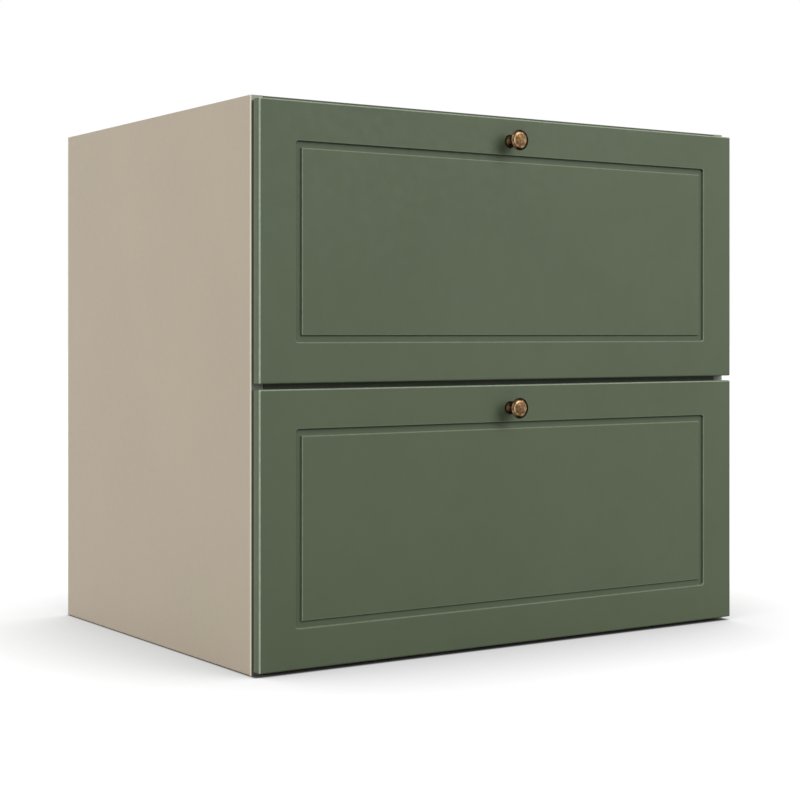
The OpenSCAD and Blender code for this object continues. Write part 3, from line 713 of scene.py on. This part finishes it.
def drawer_front(level, materials):
    """Drawer front with a rounded outer edge, a routed groove and a backing sheet."""
    node = level + "_drawer_front"
    low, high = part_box(node)
    centre = (low + high) / 2
    half = (high - low) / 2
    shape = bmesh.new()
    # Painted light per point: a painted highlight on edges that face left or up, painted shade in the
    # groove
    painted_light = shape.verts.layers.float.new("painted_light")

    def ring(share, inset, depth, radius, painted_weight):
        half_x = half.x - share * sum(STILE_WIDTHS) / 2 - inset
        half_z = half.z - share * sum(RAIL_WIDTHS) / 2 - inset
        aside = Vector((STILE_WIDTHS[0] - STILE_WIDTHS[1], 0, RAIL_WIDTHS[0] - RAIL_WIDTHS[1]))
        middle = centre + share * aside / 2
        points = rounded_ring(shape, half_x, half_z, middle, low.y + depth, radius)
        for point, turn in zip(points, ring_turns()):
            point[painted_light] = painted_edge_light(turn, painted_weight, share * depth, share)
        return points

    thick = high.y - low.y
    ease = FRONT_REAR_EASE
    backing = ring(0, ease + FOIL_LAP, thick, FRONT_CORNER_R, 0)
    rings = [ring(0, ease, thick, FRONT_CORNER_R, REAR_HIGHLIGHT)]
    rings.append(ring(0, 0, thick - ease, FRONT_CORNER_R, REAR_HIGHLIGHT))
    rings += [ring(*values) for values in front_outline() + groove_outline()]
    bridge(shape, backing, rings[0])
    for first, following in zip(rings, rings[1:]):
        bridge(shape, first, following)
    shape.faces.new(rings[-1])
    rear = shape.faces.new(backing)
    rear.material_index = 1
    mesh = to_mesh(node, shape)
    return piece(node + "_panel", mesh, materials, level + "_drawer", node)


def arc(centre, radius, start, end, steps):
    """Points of an arc in a profile of radius and height, angles in degrees from the radius axis."""
    turns = [math.radians(start + (end - start) * step / steps) for step in range(steps + 1)]
    return [(centre[0] + radius * math.cos(t), centre[1] + radius * math.sin(t)) for t in turns]


def knob_foot():
    """Lower half of a knob's outline, from its base to its collar, each point with its tarnish
    and its lean of painted light: how much that rises towards +X as painted shade and falls towards -X
    as a painted highlight."""
    foot = KNOB_BASE_T / 2
    base = arc((KNOB_BASE_R - foot, foot), foot, *KNOB_BASE_ARC)
    waist_r = (KNOB_NECK_L - KNOB_BASE_T) / 2 + KNOB_WAIST_SLACK
    waist_at = (KNOB_NECK_R + waist_r, (KNOB_NECK_L + KNOB_BASE_T) / 2)
    waist = arc(waist_at, waist_r, *KNOB_WAIST_ARC)
    collar_at = (KNOB_BASE_R - KNOB_COLLAR_IN, KNOB_NECK_L + KNOB_COLLAR_R * KNOB_COLLAR_UP)
    collar = arc(collar_at, KNOB_COLLAR_R, *KNOB_COLLAR_ARC)
    profile = [(r, h, FOOT_TARNISH, 0) for r, h in base]
    profile += [(r, h, WAIST_TARNISH, KNOB_WAIST_PAINTED_LIGHT) for r, h in waist]
    profile += [(r, h, HOLLOW_TARNISH, 0) for r, h in collar]
    return profile


def knob_cap(cap_r):
    """Upper half of a knob's outline, from the back of its cap to the top of its dome."""
    bead_at = (cap_r - KNOB_BEAD_R, KNOB_BEAD_H)
    bead = arc(bead_at, KNOB_BEAD_R, *KNOB_BEAD_ARC)
    cap_top = KNOB_BEAD_H + KNOB_BEAD_R - KNOB_RIM_DOWN
    rim_at = (bead_at[0] - KNOB_RIM_STEP[0], cap_top - KNOB_RIM_STEP[1])
    rim_r = bead_at[0] - KNOB_RIM_IN
    dome_r = (bead_at[0] ** 2 + KNOB_DOME ** 2) / (2 * KNOB_DOME)
    dome_at = (0, cap_top + KNOB_DOME - dome_r)
    dome = arc(dome_at, dome_r, math.degrees(math.acos(rim_r / dome_r)), 90, KNOB_DOME_STEPS)
    profile = [(bead_at[0] - KNOB_BACK[0], bead_at[1] - KNOB_BACK[1], HOLLOW_TARNISH, 0)]
    # The bead and the rim take a painted highlight on their -X side and painted shade on their +X side;
    # the dome takes its painted highlight on its +X side
    profile += [(r, h, HOLLOW_TARNISH, KNOB_BEAD_PAINTED_LIGHT) for r, h in bead]
    profile.append((*rim_at, RIM_TARNISH, KNOB_RIM_PAINTED_LIGHT))
    start, rise, most = DOME_TARNISH
    for step, (r, h) in enumerate(dome):
        tarnish_and_painted_light = max(HOLLOW_TARNISH - RIM_FADE * step, min(most, start + step * rise))
        painted_lean = KNOB_RIM_PAINTED_LIGHT if step < RIM_STEPS else KNOB_DOME_PAINTED_LIGHT * r / rim_r
        profile.append((r, h, tarnish_and_painted_light, painted_lean))
    return profile


def lathed(name, profile, segments, attribute):
    """Turns a profile of radius, height, value and lean round -Y. Both ends close on the axis.
    The value rises by the lean on the +X side, and falls as much on the other: painted shade on one
    side and a painted highlight on the other."""
    shape = bmesh.new()
    layer = shape.verts.layers.float.new(attribute)

    def point(radius, height, value, painted_lean, turn):
        vert = shape.verts.new((radius * math.cos(turn), -height, radius * math.sin(turn)))
        vert[layer] = value + painted_lean * math.cos(turn) ** 3
        return vert

    turns = [2 * math.pi * index / segments for index in range(segments)]
    rings = [[point(*values, turn) for turn in turns] for values in profile if values[0] > MELT]
    for first, following in zip(rings, rings[1:]):
        bridge(shape, first, following)
    shape.faces.new(rings[0])
    tip = point(0, *profile[-1][1:3], 0, 0)
    for index in range(segments):
        shape.faces.new((rings[-1][index], rings[-1][(index + 1) % segments], tip))
    return to_mesh(name, shape)


def knob(level, materials):
    node = level + "_knob"
    low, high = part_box(node)
    profile = knob_foot() + knob_cap((high.x - low.x) / 2)
    mesh = lathed(node, profile, KNOB_SEGMENTS, "tarnish_and_painted_light")
    at = ((low.x + high.x) / 2, high.y, (low.z + high.z) / 2)
    return piece(node + "_turned", mesh, materials, level + "_drawer", node, at)


def dress(names, material):
    """Gives CAD nodes a better material, their shapes as they are."""
    for name in names:
        frame["nodes"][name].material_slots[0].material = material


def camera():
    data = bpy.data.cameras.new("camera")
    data.lens = CAMERA_LENS
    data.sensor_width = CAMERA_SENSOR
    data.shift_y = CAMERA_SHIFT_Y
    item = bpy.data.objects.new("camera", data)
    item.location = CAMERA_AT
    item.rotation_euler = (math.pi / 2, 0, CAMERA_YAW)
    bpy.context.scene.collection.objects.link(item)
    bpy.context.scene.camera = item


def seen_directly(tree):
    """1 for rays from the camera, also by way of metal or glass, and 0 for light that bounces."""
    path = tree.nodes.new("ShaderNodeLightPath")
    seen = path.outputs["Is Camera Ray"]
    for other in ("Is Glossy Ray", "Is Transmission Ray"):
        either = tree.nodes.new("ShaderNodeMath")
        either.operation = "MAXIMUM"
        tree.links.new(seen, either.inputs[0])
        tree.links.new(path.outputs[other], either.inputs[1])
        seen = either.outputs[0]
    return seen


def ranged_value(tree, value, low, high, start=0, end=1):
    node = tree.nodes.new("ShaderNodeMapRange")
    node.inputs["From Min"].default_value = start
    node.inputs["From Max"].default_value = end
    node.inputs["To Min"].default_value = low
    node.inputs["To Max"].default_value = high
    tree.links.new(value, node.inputs["Value"])
    return node.outputs[0]


def world():
    """White where it is seen or mirrored, and a soft grey light everywhere else."""
    scene_world = bpy.data.worlds.new("studio")
    scene_world.use_nodes = True
    bpy.context.scene.world = scene_world
    tree = scene_world.node_tree
    strength = ranged_value(tree, seen_directly(tree), AMBIENT, 1)
    background = tree.nodes["Background"]
    background.inputs["Color"].default_value = (1, 1, 1, 1)
    tree.links.new(strength, background.inputs["Strength"])


def lamp(name, at, size, power):
    data = bpy.data.lights.new(name, "AREA")
    data.shape = "SQUARE"
    data.size = size
    data.energy = power
    item = bpy.data.objects.new(name, data)
    item.location = at
    item.rotation_euler = (LAMP_TARGET - Vector(at)).to_track_quat("-Z", "Y").to_euler()
    item.visible_camera = False
    bpy.context.scene.collection.objects.link(item)


def footprint_distance(tree):
    """How far a point of the floor lies from the cabinet's footprint."""
    value = tree.nodes.new("ShaderNodeNewGeometry").outputs["Position"]
    steps = (("SUBTRACT", FOOTPRINT_AT), ("ABSOLUTE", None), ("SUBTRACT", FOOTPRINT))
    for operation, other in steps + (("MAXIMUM", (0, 0, 0)), ("LENGTH", None)):
        node = tree.nodes.new("ShaderNodeVectorMath")
        node.operation = operation
        tree.links.new(value, node.inputs[0])
        if other is not None:
            node.inputs[1].default_value = other
        value = node.outputs["Value" if operation == "LENGTH" else "Vector"]
    return value


def floor_material():
    """Pale where it is seen, with a painted shadow near the object, where ambient occlusion and the
    footprint's edge darken its glow, and white further off.
    """
    material = bpy.data.materials.new("floor")
    material.use_nodes = True
    tree = material.node_tree
    seen = seen_directly(tree)
    shader = tree.nodes["Principled BSDF"]
    shader.inputs["Roughness"].default_value = FLOOR_ROUGHNESS
    shader.inputs["Specular IOR Level"].default_value = 0
    shader.inputs["Emission Color"].default_value = (1, 1, 1, 1)
    tree.links.new(ranged_value(tree, seen, FLOOR_BOUNCE, FLOOR_SEEN), shader.inputs["Base Color"])
    open_sky = tree.nodes.new("ShaderNodeAmbientOcclusion")
    open_sky.inputs["Distance"].default_value = FLOOR_SHADE_REACH
    painted_floor_shade = tree.nodes.new("ShaderNodeMath")
    painted_floor_shade.operation = "POWER"
    painted_floor_shade.inputs[1].default_value = FLOOR_SHADE_CURVE
    tree.links.new(open_sky.outputs["AO"], painted_floor_shade.inputs[0])
    glow = ranged_value(tree, footprint_distance(tree), FLOOR_LIFT, 1, *FLOOR_FADE)
    # Painted shadow line along the footprint's edge
    painted_contact_shadow = ranged_value(tree, footprint_distance(tree), CONTACT_SHADE, 1, 0, CONTACT_REACH)
    for factor in (painted_floor_shade.outputs[0], painted_contact_shadow, seen):
        product = tree.nodes.new("ShaderNodeMath")
        product.operation = "MULTIPLY"
        tree.links.new(glow, product.inputs[0])
        tree.links.new(factor, product.inputs[1])
        glow = product.outputs[0]
    tree.links.new(glow, shader.inputs["Emission Strength"])
    return material


def floor():
    mesh = bpy.data.meshes.new("floor")
    reach = FLOOR_REACH
    corners = [(-reach, -reach, 0), (reach, -reach, 0), (reach, reach, 0), (-reach, reach, 0)]
    mesh.from_pydata(corners, [], [(0, 1, 2, 3)])
    mesh.materials.append(floor_material())
    item = bpy.data.objects.new("floor", mesh)
    item.location.z = -FLOOR_GAP
    bpy.context.scene.collection.objects.link(item)


def dress_carcass():
    melamine = beige_melamine()
    # The bands' fronts take dark tones as painted shade, darkest on the rails that show between the
    # fronts, and the rounded outer corners of the side bands a pale tone as a painted highlight
    corner = edge_band_finish("beige_edge_band_painted_highlight", srgb(205, 197, 178), srgb(212, 204, 186))
    band_painted_shade = edge_band_finish("front_edge_band_painted_shade", srgb(110, 110, 96), srgb(117, 117, 103))
    rail_band_painted_shade = edge_band_finish("rail_edge_band_painted_shade", srgb(68, 75, 60), srgb(74, 81, 66), specular=0.1)
    chips = chipboard()
    print_face = printed_board("printed_back", srgb(183, 167, 150), srgb(178, 161, 144))
    fibres = fibreboard()
    for side, outward in zip(SIDES, (-1, 1)):
        board("side_panel_" + side, "root", 0, (melamine, chips), foot=True)
        edge_band("side_edge_" + side, 2, (band_painted_shade, corner), outward)
    board("bottom_panel", "root", 2, (melamine, chips))
    board("top_rail_front", "root", 2, (melamine, chips))
    board("top_rail_back", "root", 2, (melamine, chips))
    board("mid_rail", "root", 2, (melamine, chips))
    board("back_panel", "root", 1, (print_face, fibres, fibres), ((1, 1),))
    edge_band("bottom_edge", 0, (band_painted_shade, corner))
    edge_band("rail_edges", 0, (rail_band_painted_shade, corner))


def dress_drawers():
    pale = drawer_melamine()
    pale_band = drawer_edge_band()
    chips = bpy.data.materials["chipboard_core"]
    lacquer = green_lacquer()
    backing = printed_board("front_backing", srgb(206, 204, 197), srgb(200, 198, 190))
    brass = aged_brass()
    rubber = clear_rubber()
    banded = ((2, 1),)
    for level in LEVELS:
        body = level + "_drawer"
        drawer_front(level, (lacquer, backing))
        knob(level, (brass,))
        for side in SIDES:
            board(f"{level}_box_side_{side}", body, 0, (pale, chips, pale_band), banded)
        board(level + "_box_front", body, 1, (pale, chips, pale_band), banded)
        board(level + "_box_back", body, 1, (pale, chips, pale_band), banded)
        board(level + "_box_floor", body, 2, (pale, chips))
        eased_rims(level + "_bumper_pads", body, rubber, PAD_ROUND, axis=1)


def dress_metal():
    along_y = (1, 0.02, 1)
    sheet = plated_steel("slide_steel", srgb(196, 199, 202), srgb(168, 172, 176), along_y, 0.32)
    cage = plated_steel("cage_steel", srgb(182, 184, 186), srgb(150, 152, 156), along_y, 0.4)
    screw = plated_steel("screw_steel", srgb(190, 192, 194), srgb(146, 148, 150), (1, 1, 1), 0.3)
    dress([name for name in frame["nodes"] if "_member_" in name and "screws" not in name], sheet)
    dress([name for name in frame["nodes"] if name.endswith("_cages")], cage)
    dress([name for name in frame["nodes"] if name.endswith("_balls")], polished_steel())
    dress([level + "_box_screws" for level in LEVELS], screw)
    dress(["cam_bolts"], cast_zinc())
    dress(["wood_dowels"], beech_wood())
    eased_rims("cam_locks", "root", bpy.data.materials["cast_zinc"], CAM_ROUND, axis=2)
    eased_rims("back_screws", "root", screw, HEAD_ROUND)
    eased_rims("slide_screws", "root", screw, HEAD_ROUND)
    for level in LEVELS:
        for node in ("_front_screws", "_member_screws", "_knob_screw"):
            eased_rims(level + node, level + "_drawer", screw, HEAD_ROUND)


camera()
world()
floor()
lamp("key_lamp", **KEY_LAMP)
lamp("left_lamp", **LEFT_LAMP)
lamp("top_lamp", **TOP_LAMP)
dress_carcass()
dress_drawers()
dress_metal()
bpy.context.scene.view_settings.view_transform = "Standard"
